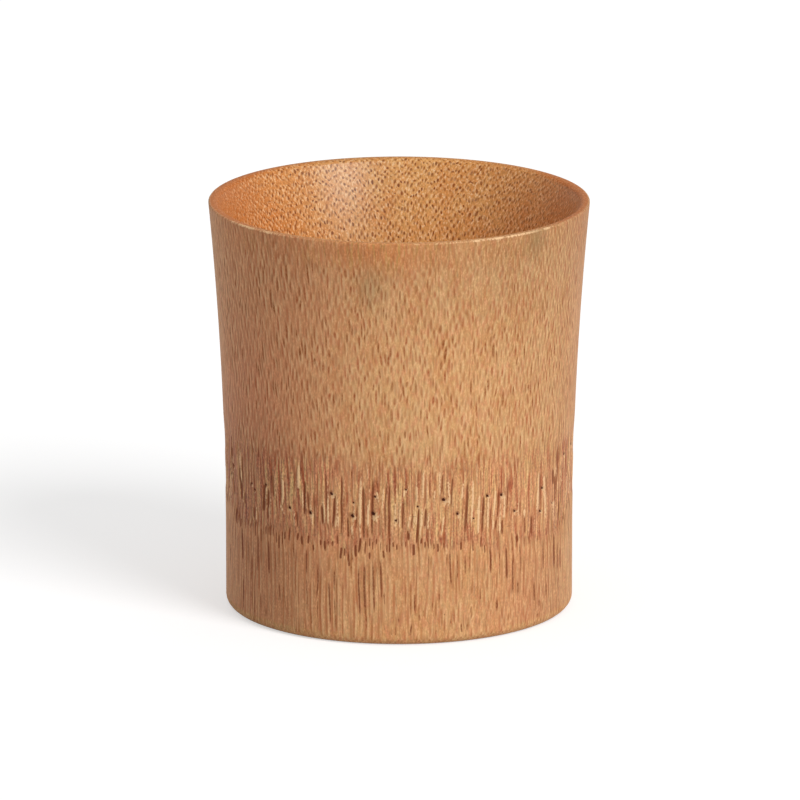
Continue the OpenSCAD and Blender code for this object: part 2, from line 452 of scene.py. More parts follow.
def clear_of(marks, others, gap=0.5):
    """The marks that don't stand on any of the others."""
    apart = np.abs(turn(marks[:, None, 0], others[None, :, 0])) * FOOT_R > gap
    over = marks[:, None, 2] > others[None, :, 1]
    under = marks[:, None, 1] < others[None, :, 2]
    return marks[np.all(apart | over | under, axis=1)]


def drawn(marks, angle, z, strength, breadth, reach=2.0, taper=5):
    """Shade from 0 to 1 that tapered marks give at each point."""
    shade = np.zeros_like(angle)
    sway = 0.12 * noise(angle, z, 17, 90, 3.5)
    for (middle, top, bottom, lean, width), weight in zip(marks, strength):
        aside = turn(angle, middle) * FOOT_R
        near = np.flatnonzero((np.abs(aside) < reach) & (z < top) & (z > bottom))
        half = (top - bottom) / 2
        along = (z[near] - (top + bottom) / 2) / half
        across = (aside[near] - lean * along * half - sway[near]) / (breadth * width)
        depth = np.clip(1 - across**2, 0, 1) * (1 - np.abs(along) ** taper)
        shade[near] = np.maximum(shade[near], weight * depth)
    return shade


def beside(marks, rng, offset=0.95, thinner=0.85):
    """Pale fibres that lie along one side of each dark streak."""
    pale = marks.copy()
    side = rng.choice([-1, 1], len(marks))
    pale[:, 0] += side * offset * marks[:, 4] / FOOT_R
    pale[:, 4] *= thinner
    return pale


def boldness(marks, faint, bold, rng, widths=(0.4, 0.75)):
    """Strength of each mark: faint if narrow and bold if wide, a little less on the right."""
    angle = turn(marks[:, 0], 0)
    facing = np.where(np.abs(angle) < SEEN, np.cos(angle), 1.0)
    wide = step_between(*widths, marks[:, 4] * facing)
    right = step_between(0, 0.35, angle)
    return (faint + (bold - faint) * wide) * (1 - 0.08 * right) + rng.uniform(-0.08, 0.08, len(marks))


def node_marks(angle, z):
    """Dark streaks and pale fibres of the node and the foot, each from 0 to 1."""
    rng = np.random.default_rng(5)
    back_node = random_marks(seed=21, count=130, length=(3, 11), middle=(25.5, 37.5), width=(0.5, 0.7))
    back_pale = random_marks(seed=22, count=80, length=(3, 9), middle=(26, 37), width=(0.5, 0.8))
    back_foot = random_marks(seed=23, count=150, length=(3, 10), middle=(5, 19), width=(0.42, 0.6))
    seen_foot = seen_marks(FOOT_MARKS)
    at_node = np.concatenate([seen_marks(DARK_MARKS), back_node])
    at_foot = np.concatenate([seen_foot, clear_of(fringe_marks(), seen_foot), back_foot])
    at_top = clear_of(upper_teeth(), at_node)
    pale = np.concatenate([seen_marks(PALE_MARKS), back_pale])
    at_fringe = at_foot[:, 2] > BAND[0]
    shade = drawn(at_node, angle, z, boldness(at_node, 0.5, 0.85, rng), breadth=0.56)
    foot_bold = boldness(at_foot, 0.5, 0.8, rng) + rng.uniform(0.05, 0.45, len(at_foot)) * at_fringe
    shade = np.maximum(shade, drawn(at_foot, angle, z, foot_bold, breadth=0.57))
    shade = np.maximum(shade, drawn(at_top, angle, z, rng.uniform(0.3, 0.6, len(at_top)), breadth=0.55))
    light = drawn(pale, angle, z, rng.uniform(0.6, 1.0, len(pale)), breadth=0.44)
    edges = beside(at_node, rng)
    light = np.maximum(light, drawn(edges, angle, z, rng.uniform(0.3, 0.8, len(edges)), breadth=0.45))
    return shade, light * (1 - 0.75 * shade)


# Pits at the back: how many, and ranges of angle, height and radius; then an offset for none
BACK_PITS = 26
BACK_PIT_RANGES = ((1.2, 5.08), (27, 36), (0.18, 0.36))
NO_PIT = 15.0


def pit_offsets(angle, z, start=9.0, reach_squared=13):
    """Offset of each point from the nearest pit, round the cup and up, in radii of that pit."""
    rng = np.random.default_rng(6)
    pits = [(*on_side(column, row), size * CAMERA_DISTANCE / FOCAL) for column, row, size in PITS]
    pits += list(zip(*[rng.uniform(*limits, BACK_PITS) for limits in BACK_PIT_RANGES]))
    aside = np.full_like(angle, start)
    above = np.full_like(angle, start)
    for middle, height, size in pits:
        x = turn(angle, middle) * FOOT_R / size
        y = (z - height) / size
        closer = x * x + y * y < aside**2 + above**2
        aside = np.where(closer, x, aside)
        above = np.where(closer, y, above)
    away = aside**2 + above**2 > reach_squared
    return np.where(away, np.copysign(NO_PIT, aside), aside), above


# Meshes of revolution

class Lathe:
    """Rings round the axis, each with as many points as the last, half or twice as many."""

    def __init__(self):
        self.rings = []

    def turn(self, outline, zone, columns=COLUMNS):
        """Adds a ring for each point of an outline."""
        self.rings += [(radius, z, columns, zone) for radius, z in outline]

    def points(self):
        """Angle, radius, height and zone of each point."""
        counts = [ring[2] for ring in self.rings]
        angle = np.concatenate([np.arange(n) * 2 * np.pi / n for n in counts])
        radius, z, _, zone = np.repeat(self.rings, counts, axis=0).T
        return angle, radius, z, zone

    def faces(self, closed):
        """Faces between the rings, and the zone of each; closed joins the last ring to the first."""
        counts = [ring[2] for ring in self.rings]
        first = np.cumsum([0] + counts).tolist()
        faces = []
        zones = []
        for a in range(len(counts) if closed else len(counts) - 1):
            b = (a + 1) % len(counts)
            made = self.strip(first[a], counts[a], first[b], counts[b])
            faces += made
            zones += [self.rings[b][3]] * len(made)
        return faces, zones

    @staticmethod
    def strip(a, na, b, nb):
        """Faces between a ring of na points from index a and a ring of nb points from index b."""
        count = min(na, nb)
        up = nb // count
        down = na // count
        return [
            tuple(b + k % nb for k in range(up * i, up * i + up + 1))
            + tuple(a + k % na for k in range(down * i + down, down * i - 1, -1))
            for i in range(count)
        ]


def placed(name, data):
    """A new object in the scene."""
    made = bpy.data.objects.new(name, data)
    bpy.context.scene.collection.objects.link(made)
    return made


def make_piece(name, angle, radius, z, faces, zones, materials):
    """A smooth mesh object from points round the axis, in millimetres."""
    points = np.stack([radius * np.sin(angle), -radius * np.cos(angle), z], 1) * MM
    mesh = bpy.data.meshes.new(name)
    mesh.from_pydata(points.tolist(), [], faces)
    mesh.polygons.foreach_set("use_smooth", np.ones(len(faces), bool))
    for material in materials:
        mesh.materials.append(material)
    mesh.polygons.foreach_set("material_index", np.array(zones, np.int32))
    mesh.update()
    return placed(name, mesh)


def store(piece, name, *values):
    """Keeps three values for each point of a piece, for its materials."""
    held = piece.data.attributes.new(name, "FLOAT_VECTOR", "POINT")
    held.data.foreach_set("vector", np.stack(values, 1).astype(np.float32).ravel())


# Shader nodes, written as arithmetic

def operation(kind):
    """Arithmetic with another term or a number."""
    return lambda term, other: term.graph.math(kind, term, other)


class Term:
    """An output of a node, open to arithmetic."""

    def __init__(self, graph, socket):
        self.graph = graph
        self.socket = socket

    def __rsub__(self, other):
        return self.graph.math("SUBTRACT", other, self)

    __add__ = __radd__ = operation("ADD")
    __sub__ = operation("SUBTRACT")
    __mul__ = __rmul__ = operation("MULTIPLY")
    __truediv__ = operation("DIVIDE")


class Gloss(NamedTuple):
    """Roughness and shine of a surface, and the weight and haze of the film on it."""
    roughness: float
    shine: float
    coat: float
    haze: float


# Fine relief of the bamboo: strength, and depth in millimetres
BUMP_STRENGTH = 0.5
BUMP_DEPTH = 0.06


class Graph:
    """The nodes of one material."""

    def __init__(self, name):
        self.material = bpy.data.materials.new(name)
        self.material.use_nodes = True
        self.tree = self.material.node_tree
        self.shader = self.tree.nodes["Principled BSDF"]

    def fill(self, node, inputs):
        """Gives a node's inputs, by name or number, a term or a plain value each."""
        for key, value in inputs.items():
            if isinstance(value, Term):
                self.tree.links.new(value.socket, node.inputs[key])
            else:
                node.inputs[key].default_value = value

    def node(self, kind, inputs, **settings):
        """A new node of a kind."""
        made = self.tree.nodes.new(kind)
        for name, value in settings.items():
            setattr(made, name, value)
        self.fill(made, inputs)
        return made

    def made(self, kind, inputs, output=0, **settings):
        """An output of a new node."""
        return Term(self, self.node(kind, inputs, **settings).outputs[output])

    def math(self, operation, *values):
        """Arithmetic on one or two numbers."""
        return self.made("ShaderNodeMath", dict(enumerate(values)), operation=operation)

    def split(self, vector):
        """The three numbers of a vector."""
        return [Term(self, out) for out in self.node("ShaderNodeSeparateXYZ", {0: vector}).outputs]

    def joined(self, *values):
        """A vector of three numbers."""
        return self.made("ShaderNodeCombineXYZ", dict(enumerate(values)))

    def place(self):
        """Place on the piece, in metres."""
        return self.made("ShaderNodeTexCoord", {}, "Object")

    def held(self, name):
        """Three values that the piece keeps at its points."""
        return self.split(self.made("ShaderNodeAttribute", {}, "Vector", attribute_name=name))

    def chance(self, *values):
        """Three random numbers from 0 to 1 for a cell."""
        inputs = {"Vector": self.joined(*values)}
        return self.split(self.made("ShaderNodeTexWhiteNoise", inputs, "Color", noise_dimensions="3D"))

    def cloud(self, place, wide, tall, detail, roughness=0.5):
        """Noise from about -1 to 1, in clumps of a width and a height in millimetres."""
        across = 1 / (wide * MM)
        inputs = {0: place, 1: (across, across, 1 / (tall * MM))}
        stretched = self.made("ShaderNodeVectorMath", inputs, operation="MULTIPLY")
        inputs = {"Vector": stretched, "Scale": 1.0, "Detail": detail, "Roughness": roughness}
        return self.made("ShaderNodeTexNoise", inputs) * 2.0 - 1.0

    def between(self, value, low, high):
        """0 at low and 1 at high, smooth between."""
        inputs = {"Value": value, "From Min": low, "From Max": high}
        return self.made("ShaderNodeMapRange", inputs, interpolation_type="SMOOTHSTEP")

    def mix(self, share, a, b):
        """Colour a at 0 and b at 1."""
        return self.made("ShaderNodeMix", {0: share, 6: a, 7: b}, 2, data_type="RGBA")

    def tinted(self, colour, factor):
        """A colour times a number."""
        return self.made("ShaderNodeVectorMath", {0: colour, "Scale": factor}, operation="SCALE")

    def finish(self, colour, height, roughness, gloss):
        """The material, with a colour, a fine relief, and a roughness on top of that of its gloss."""
        relief = {"Strength": BUMP_STRENGTH, "Distance": BUMP_DEPTH * MM, "Height": height}
        self.fill(self.shader, {
            "Base Color": colour,
            "Roughness": roughness + gloss.roughness,
            "Specular IOR Level": gloss.shine,
            "Normal": self.made("ShaderNodeBump", relief),
            "Coat Weight": gloss.coat,
            "Coat Roughness": gloss.haze,
        })
        return self.material


# Bamboo

def paint(red, green, blue):
    """A colour in linear light from the usual 0 to 255."""
    def linear(v):
        v /= 255
        return v / 12.92 if v <= 0.04045 else ((v + 0.055) / 1.055) ** 2.4
    return (linear(red), linear(green), linear(blue), 1.0)


STRAW = paint(223, 171, 118)
HONEY = paint(210, 149, 95)
ROSY = paint(220, 146, 104)
FLAX = paint(222, 176, 118)
RUSSET = paint(214, 142, 100)
GINGER = paint(208, 128, 70)
DASH = paint(146, 82, 36)
ROSE_DASH = paint(184, 106, 66)
RUST = paint(174, 86, 54)
ROSE_STREAK = paint(156, 78, 52)
BURNT = paint(120, 54, 24)
FIBRE = paint(244, 204, 154)
STRAND = paint(238, 190, 128)
CREAM = paint(252, 214, 166)
SPLINT_AND_GLINT = paint(250, 206, 156)
THREAD = paint(204, 160, 92)
PIT = paint(74, 30, 16)
STAIN_AND_SHEEN = paint(138, 120, 80)
AMBER = paint(208, 119, 50)
AMBER_STRAW = paint(238, 178, 106)
AMBER_HONEY = paint(226, 154, 82)
AMBER_DASH = paint(122, 56, 4)
AMBER_ROSE = paint(150, 76, 14)


class Grain(NamedTuple):
    """Looks of cut bamboo: colours, weight of the bundles' pale caps with the painted highlight beside
    each, columns of bundles round the culm, their pitch through the wall in millimetres, size as shares of
    a cell, stagger, depth and inequality, and weight of pale flecks."""
    ground: tuple
    blotches: tuple
    blush: tuple
    dashes: tuple
    cream: tuple
    cap_and_glint: float
    columns: int
    pitch: float
    size: tuple
    stagger: float
    depth: float
    unequal: float
    fleck: float


OUTER_GRAIN = Grain(
    ground=(STRAW, HONEY), blotches=(ROSY, FLAX), blush=RUSSET,
    dashes=(DASH, ROSE_DASH), cream=FIBRE, cap_and_glint=0.4,
    columns=374, pitch=0.9, size=(0.43, 0.28), stagger=0.3, depth=0.8, unequal=0.7, fleck=0.3,
)
INNER_GRAIN = Grain(
    ground=(AMBER_STRAW, AMBER_HONEY), blotches=(AMBER_HONEY, AMBER_STRAW), blush=AMBER,
    dashes=(AMBER_DASH, AMBER_ROSE), cream=CREAM, cap_and_glint=0.5,
    columns=330, pitch=1.08, size=(0.38, 0.2), stagger=0.5, depth=0.9, unequal=0.45, fleck=0.9,
)
LIP_GRAIN = INNER_GRAIN._replace(fleck=0.6)

# The cross wall, with paler bundles: the cell of one in millimetres, and columns before they repeat
TANGLED = dict(size=(0.36, 0.4), stagger=0.8, depth=0.6, unequal=0.6, fleck=0.4)
FLOOR_GRAIN = INNER_GRAIN._replace(ground=(AMBER_HONEY, AMBER), **TANGLED)
UNDER_GRAIN = OUTER_GRAIN._replace(**TANGLED)
FLOOR_CELL = (0.7, 1.3)
FLOOR_COLUMNS = 400

OUTER_GLOSS = Gloss(0.58, 0.2, 0.03, 0.4)
INNER_GLOSS = Gloss(0.45, 0.2, 0.32, 0.3)
BARE_GLOSS = Gloss(0.65, 0.2, 0.0, 0.5)
LIP_GLOSS = Gloss(0.5, 0.2, 0.1, 0.4)
FLOOR_GLOSS = Gloss(0.5, 0.3, 0.15, 0.4)
UNDER_GLOSS = Gloss(0.55, 0.3, 0.1, 0.4)

# Offset of a bundle's pale cap in columns, always to the same side, where it is also a painted highlight;
# and heights between which the columns begin to wind
CAP_GLINT_OFFSET = 0.8
WINDING = (15, 24)

# Noises of the bamboo: width and height of their clumps in millimetres, detail and roughness
CLOUDS = {
    "grain": (0.42, 2.4, 2.0, 0.6),
    "speckle": (0.3, 0.55, 1.0, 0.5),
    "thread": (0.35, 9, 2.0, 0.5),
    "comb": (0.62, 9, 2.0, 0.6),
    "mottle": (3.5, 11, 3.0, 0.5),
    "blotch": (0.9, 2.0, 2.0, 0.5),
    "wander": (2.2, 5, 1.0, 0.5),
    "drift": (1.6, 7, 1.0, 0.5),
}


def bundles(graph, across, through, count, seed, look, shift=0.4):
    """Nearness from 0 to 1 to the middle of a fibre bundle, and a random number of that bundle."""
    column = graph.math("FLOOR", across)
    which = graph.math("FLOORED_MODULO", column, float(count))
    phase, _, _ = graph.chance(which, seed, 0.5)
    moved = through + graph.math("FLOORED_MODULO", column, 2.0) * 0.5 + phase * look.stagger
    row = graph.math("FLOOR", moved)
    aside, along, weight = graph.chance(which, row, seed)
    wide, tall, hue = graph.chance(which, row, seed + 0.5)
    x = (across - column - 0.5 - (aside - 0.5) * shift) / ((wide * 0.5 + 0.75) * look.size[0])
    y = (moved - row - 0.5 - (along - 0.5) * shift) / ((tall * 0.6 + 0.7) * look.size[1])
    x = x + y * (tall - 0.5) * 0.9
    near = graph.between(x * x + y * y, 1.5, 0.05)
    return near * (weight * look.unequal + (1 - look.unequal)), hue


def cut_bundles(graph, place, clouds, look):
    """The bundles that the surface cuts: dark vessels, pale caps with a painted highlight on one side, and
    a hue for each.
    """
    x, y, z = graph.split(place)
    angle = graph.math("ARCTAN2", x, y * -1.0)
    radius = graph.math("SQRT", x * x + y * y) / MM
    across, shift, contrast = graph.held("grain")
    winding = graph.between(z, WINDING[0] * MM, WINDING[1] * MM) * 0.45 + 0.15
    round_the_cup = angle * (look.columns / (2 * math.pi)) + across + clouds.wander * winding
    through = (radius - shift) / look.pitch + clouds.drift * 0.5
    near, hue = bundles(graph, round_the_cup, through, look.columns, 1.0, look)
    cap_and_glint, _ = bundles(graph, round_the_cup - CAP_GLINT_OFFSET, through, look.columns, 1.0, look)
    dash = near * contrast * (clouds.speckle * 1.1 + 1.0)
    return dash, cap_and_glint * contrast, hue


def ground_colour(graph, clouds, look, warm, smooth, band):
    """The bamboo between its bundles: mottled, warm in parts, smooth below the lip, combed at the node."""
    blotch = clouds.blotch
    comb = clouds.comb
    blotted = band * 0.3 + 0.5
    colour = graph.mix(graph.between(clouds.mottle, -0.45, 0.45), *look.ground)
    colour = graph.mix(graph.between(blotch, 0.0, 0.35) * blotted, colour, look.blotches[0])
    colour = graph.mix(graph.between(blotch, 0.0, -0.35) * blotted, colour, look.blotches[1])
    # warm holds the bamboo's own warmer patches and, inside, painted bounce light on the left wall
    colour = graph.mix(warm, colour, look.blush)
    colour = graph.mix(smooth * 0.65, colour, GINGER)
    colour = graph.mix(graph.between(comb, 0.0, 0.3) * smooth * 0.7, colour, THREAD)
    colour = graph.mix(graph.between(comb, -0.04, -0.24) * band * 0.85, colour, RUST)
    colour = graph.mix(graph.between(comb, 0.02, 0.26) * band * 0.85, colour, STRAND)
    return graph.mix(graph.between(clouds.thread, -0.08, -0.26) * band * 0.6, colour, ROSE_STREAK)


def pitted(graph, clouds, colour, aside, above):
    """A colour with the node's pits in it, darker round their edge with a painted glint beside each, and
    how deep in a pit a point is.
    """
    speckle = clouds.speckle
    ragged = aside + above * 0.3 + speckle * 0.8
    from_pit = ragged * ragged + above * above
    # Painted glint: a pale patch at the lower right of every pit, on the same side for all
    glint_aside = aside - 1.2
    glint_above = above + 1.8
    from_glint = glint_aside * glint_aside + glint_above * glint_above * 0.4 + (speckle + clouds.comb) * 5.0
    pit = graph.between(from_pit, 1.5, 0.4)
    colour = graph.mix(graph.between(from_pit, 7.0, 1.0) * 0.5, colour, BURNT)
    colour = graph.mix(graph.between(from_glint, 3.5, 0.5) * 0.65, colour, SPLINT_AND_GLINT)
    return graph.mix(pit, colour, PIT), pit


def bamboo(name, look, gloss):
    """Turned bamboo: fibre bundles cut at a slant, fine grain, and the marks of the node."""
    graph = Graph(name)
    place = graph.place()
    clouds = SimpleNamespace(**{kind: graph.cloud(place, *form) for kind, form in CLOUDS.items()})
    grain = clouds.grain
    speckle = clouds.speckle
    thread = clouds.thread
    comb = clouds.comb
    dark, pale, band = graph.held("node")
    aside, above, smooth = graph.held("pits")
    warm, light, stain_and_sheen = graph.held("tone")
    dash, cap_and_glint, hue = cut_bundles(graph, place, clouds, look)
    fleck = graph.between(grain + speckle * 0.8 - dash * 0.3, 0.1, 0.5)
    streak = graph.between(dark + (thread * 0.4 + speckle * 0.5) * dark, 0.26, 0.68)
    fibre = graph.between(pale + (comb * 0.8 + speckle * 1.0) * pale, 0.24, 0.7)
    ripple = thread * (smooth * 0.3 + 0.1)
    sparkle = speckle * (band * 0.35 + (0.2 + 0.3 * look.fleck))
    colour = ground_colour(graph, clouds, look, warm, smooth, band)
    # light holds the bamboo's own tone together with painted shade and painted light
    colour = graph.tinted(colour, grain * 0.3 + sparkle + ripple + light * 0.12 + 1.0)
    colour = graph.mix(fleck * (1.0 - warm * 0.5) * look.fleck, colour, look.cream)
    # Pale caps on the same side of every bundle: partly the bundles' own pale sheath, partly a painted
    # highlight
    colour = graph.mix(cap_and_glint * look.cap_and_glint, colour, look.cream)
    colour = graph.mix(dash * look.depth, colour, graph.mix(hue, *look.dashes))
    colour = graph.mix(streak * 0.85, colour, graph.mix(streak, DASH, BURNT))
    # Pale fibres, and the painted highlight along the lip's outer edge
    colour = graph.mix(fibre * 0.88, colour, SPLINT_AND_GLINT)
    colour, pit = pitted(graph, clouds, colour, aside, above)
    # Stains, and the painted sheen inside
    colour = graph.mix(stain_and_sheen * 0.5, colour, STAIN_AND_SHEEN)
    height = grain * 0.3 + thread * 0.15 + comb * band * 0.6 - dash * 0.5 - streak * 0.5 + fibre * 0.4
    return graph.finish(colour, height, dash * 0.1 + streak * 0.15 + pit * 0.4 + grain * 0.04, gloss)


def tangled_bamboo(name, look, gloss):
    """The cross wall at the node, whose fibre bundles tangle instead of running straight."""
    graph = Graph(name)
    place = graph.place()
    x, y, _ = graph.split(place)
    bend = graph.cloud(place, wide=13, tall=math.inf, detail=2.0)
    twist = graph.cloud(place, wide=-11, tall=math.inf, detail=2.0)
    grain = graph.cloud(place, wide=0.5, tall=0.5, detail=3.0, roughness=0.6)
    mottle = graph.cloud(place, wide=6, tall=6, detail=3.0)
    across = x / (FLOOR_CELL[0] * MM) + bend * 8.0
    through = y / (FLOOR_CELL[1] * MM) + twist * 5.0
    dash, hue = bundles(graph, across, through, FLOOR_COLUMNS, 3.0, look)
    colour = graph.mix(graph.between(mottle, -0.4, 0.4), *look.ground)
    colour = graph.tinted(colour, grain * 0.3 + mottle * 0.15 + 1.0)
    colour = graph.mix(graph.between(grain - dash * 0.3, 0.15, 0.5) * look.fleck, colour, look.cream)
    colour = graph.mix(dash * look.depth, colour, graph.mix(hue, *look.dashes))
    return graph.finish(colour, grain * 0.4 - dash * 0.5, dash * 0.1 + grain * 0.04, gloss)


# Culm wall

OUTSIDE, INSIDE, BARE, LIP = 0, 1, 2, 3

# Relief of the node in millimetres
BAND_DEPTH = 0.15
STREAK_DEPTH = 0.15
FIBRE_RISE = 0.12
LINE_DEPTH = 0.03
PIT_DEPTH = 0.4

# Heights in millimetres between which parts of the wall begin or end
NEAR_LIP = (79, 84)
LIP_SIDES = (75, 85)
LIP_EDGE = (86.45, 86.7)
LIP_TOP = (86.6, 86.95)
UPPER_SIDE = (55, 84)
TOP_SIDE = (62, 78)
LOW_SIDE = (30, 52)
BAND_END = (36, BAND[1])
FOOT_TOP = (19, 23)
FOOT_EDGE = (0.5, 3.5)
FOOT_FADE = (14, 26)

# Heights from the band's lower edge: between which it begins, and middle and reach of two steps there
BAND_START = (-0.8, 1.4)
DARK_STEP = (0.8, 1.1)
PALE_STEP = (-2.2, 1.2)

# Middle and reach of the dark above the band's left end
DUSK = (43, 8)


def wall_lathe():
    """Rings of the wall: up the inside, over the lip, down the outside and up the recess."""
    lathe = Lathe()
    inner_lip, outer_lip = lip_outline()
    bore = heights(FLOOR_H + COVE_R, MOUTH_H, step=2.4)[1:]
    mouth = heights(MOUTH_H, inner_lip[0, 1], step=2.0)[1:-1]
    side = heights(outer_lip[-1, 1], BAND[1] + 2 * BAND_LEAD, step=2.0)[1:]
    foot = heights(BAND[0], FOOT_ROUND + 2 * FOOT_LEAD, step=0.9)[1:]
    lathe.turn(arc(COVE, COVE_R, COVE_SEAT, 0, steps=5), INSIDE)
    lathe.turn(upright(np.concatenate([bore, mouth]), mouth_radius), INSIDE)
    lathe.turn(inner_lip[:1], INSIDE)
    lathe.turn(inner_lip[1:], LIP)
    lathe.turn(outer_lip[:1], LIP)
    lathe.turn(outer_lip[1:], OUTSIDE)
    lathe.turn(upright(side, side_radius), OUTSIDE)
    lathe.turn(upright(np.array([BAND[1] + BAND_LEAD]), side_radius), OUTSIDE, 2 * COLUMNS)
    lathe.turn(upright(heights(BAND[1], BAND[0], step=0.6), side_radius), OUTSIDE, BAND_COLUMNS)
    lathe.turn(upright(foot, side_radius), OUTSIDE, BAND_COLUMNS)
    lathe.turn(upright(np.array([FOOT_ROUND + FOOT_LEAD]), side_radius), OUTSIDE, 2 * COLUMNS)
    lathe.turn(foot_outline(), BARE)
    lathe.turn(recess_outline()[1:], OUTSIDE)
    return lathe


def lip_edge_highlight(angle):
    """Painted highlight along the lip's outer edge: how pale it is at each angle."""
    back = step_between(*BACK_LIP, np.abs(turn(angle, 0)))
    level = 0.15 + 0.65 * patch(angle, *LIP_HIGHLIGHT_RIGHT) + 0.45 * patch(angle, *LIP_HIGHLIGHT_LEFT) + 0.35 * back
    return level * (0.8 + 0.5 * noise(angle, 0 * angle, 45, 150, 50))


def wall_fields(lathe):
    """Marks of the node and patches at each point of the wall."""
    on = SimpleNamespace()
    on.angle, turned, on.z, on.zone = lathe.points()
    angle = on.angle
    z = on.z
    on.outside = (on.zone == OUTSIDE) & (turned > BOWL_R + 1)
    on.inside = (on.zone == INSIDE) | (on.zone == LIP)
    on.dark, on.pale = [mark * on.outside for mark in node_marks(angle, z)]
    on.aside, on.above = pit_offsets(angle, z)
    on.above_fringe = z - fringe_height(angle)
    begun = step_between(*BAND_START, on.above_fringe)
    on.band = begun * (1 - step_between(*BAND_END, z)) * on.outside
    relief = BAND_DEPTH + STREAK_DEPTH * on.dark - FIBRE_RISE * on.pale
    pits = PIT_DEPTH * np.exp(-(on.aside**2 + on.above**2)) * on.outside
    on.radius = turned - relief * on.band - LINE_DEPTH * on.dark - pits
    on.left = patch(angle, *LEFT_SIDE)
    on.foot = (1 - step_between(*FOOT_TOP, z)) * on.outside
    on.right_top = patch(angle, *RIGHT_TOP) * step_between(*TOP_SIDE, z) * on.outside
    near_lip = step_between(*NEAR_LIP, z) * on.outside
    on.front_lip = near_lip * (0.3 + 0.7 * patch(angle, *FRONT_LIP))
    on.lip_top = step_between(*LIP_TOP, z) * on.inside
    ends = step_between(0.7, 1.0, np.abs(np.sin(angle)))
    on.lip_ends = ends * step_between(*LIP_SIDES, z) * on.inside
    on.inner_right = patch(angle, *INNER_RIGHT) * on.inside
    on.sheen = patch(angle, *SHEEN) * on.inside
    return on


def wall_grain(on):
    """Shift of the bundles round the cup and through its wall, and how clearly they show."""
    across, shift = fibre_shift(on.angle, on.z)
    start_r, start_z = lip_outline()[0][0]
    _, start_shift = fibre_shift(on.angle, np.full_like(on.z, start_z))
    over_lip = start_r - start_shift + LIP_LEAN * np.hypot(on.radius - start_r, on.z - start_z)
    shift = np.where(on.zone == LIP, on.radius - over_lip, shift)
    foot_edge = 1 - step_between(*FOOT_EDGE, on.z)
    contrast = (1 - 0.75 * on.front_lip) * (1 - 0.5 * on.lip_top)
    contrast *= (1 - (0.55 - 0.25 * np.sin(on.angle)) * on.lip_ends) * (1 - 0.35 * on.right_top)
    contrast *= (1 - 0.35 * on.band) * (1 - 0.25 * on.foot) * (1 - 0.4 * foot_edge)
    # The dots are also deepened under the painted sheen inside
    contrast *= (1 + 0.15 * on.left * on.outside) * (1 - 0.25 * on.inner_right) * (1 + 0.2 * on.sheen)
    return across, shift, contrast


def wall_node(on):
    """Dark streaks, pale fibres with the painted highlight along the lip's outer edge, and how strongly
    the band is combed.
    """
    uneven = 0.75 + 0.4 * noise(on.angle, on.z, 44, 30, 9) + 0.15 * on.left
    # Painted highlight: the lip's outer edge drawn pale, like the pale fibres
    lip_highlight = step_between(*LIP_EDGE, on.z) * on.outside * lip_edge_highlight(on.angle)
    bold = on.dark * (1 + 0.25 * on.left * on.band)
    return bold, np.maximum(on.pale, lip_highlight), on.band * uneven + 0.1 * on.foot


def wall_stains_and_sheen(on):
    """How strongly the bamboo is stained, and the painted sheen inside: its base dulled towards grey where
    the coat's highlight falls.
    """
    # Painted sheen: the inside's base dulled towards grey under the coat's highlight
    stain_and_sheen = 0.35 * on.sheen
    for column, row, size, depth in STAINS:
        middle, height = on_side(column, row)
        far = ((turn(on.angle, middle) * FOOT_R) ** 2 + (0.7 * (on.z - height)) ** 2) / size**2
        stain_and_sheen = np.maximum(stain_and_sheen, depth * np.exp(-far) * on.outside)
    return stain_and_sheen


def wall_tone(on):
    """How warm, light and stained the bamboo is, with painted shade, painted bounce light and the painted
    sheen among these.
    """
    angle = on.angle
    z = on.z
    pale_step = belt(on.above_fringe, *PALE_STEP)
    # Painted shade: a darker, warmer line just inside the band's lower edge, where the surface steps in
    dark_step = belt(on.above_fringe, *DARK_STEP)
    low = 1 - step_between(*LOW_SIDE, z)
    right_foot = patch(angle, *RIGHT_FOOT) * (1 - step_between(*FOOT_FADE, z))
    dusk = patch(angle, *LEFT_END) * belt(z, *DUSK) * on.outside
    # Painted bounce light: the inside's left wall warmer and lighter
    inner_left_bounce = patch(angle, *INNER_LEFT_BOUNCE) * on.inside
    warm = 0.1 + 0.8 * on.left + 0.25 * noise(angle, z, 41, 14, 30)
    warm += 0.3 * on.front_lip + 0.4 * right_foot + 0.3 * dark_step
    warm += 0.38 * on.band * (1 + noise(angle, z, 43, 30, 8))
    warm = warm * on.outside + 0.4 * dusk + 0.95 * inner_left_bounce + 0.8 * on.inner_right
    warm += 0.3 * on.lip_top + 0.6 * on.lip_ends * (on.zone == LIP)
    # Painted shade, partly the bamboo's own darker tone: the lower left of the outside, away from the key
    # light, is darker
    light = 0.5 * noise(angle, z, 42, 18, 36) - 1.8 * on.left * low - 0.5 * right_foot
    # Painted shade: the outside darker towards the lip, where the flaring side tilts away from the light,
    # and towards its right edge
    light -= (0.65 * step_between(*UPPER_SIDE, z) + 0.75 * patch(angle, *RIGHT_EDGE_SHADE)) * on.outside
    light -= 0.8 * on.right_top + 0.3 * dusk
    light += (0.6 * pale_step - 0.5 * dark_step) * on.outside
    light += 0.15 * inner_left_bounce + 0.45 * on.inner_right - 0.3 * on.lip_top - 0.6 * on.inside
    return np.clip(warm, 0, 1), light, wall_stains_and_sheen(on)


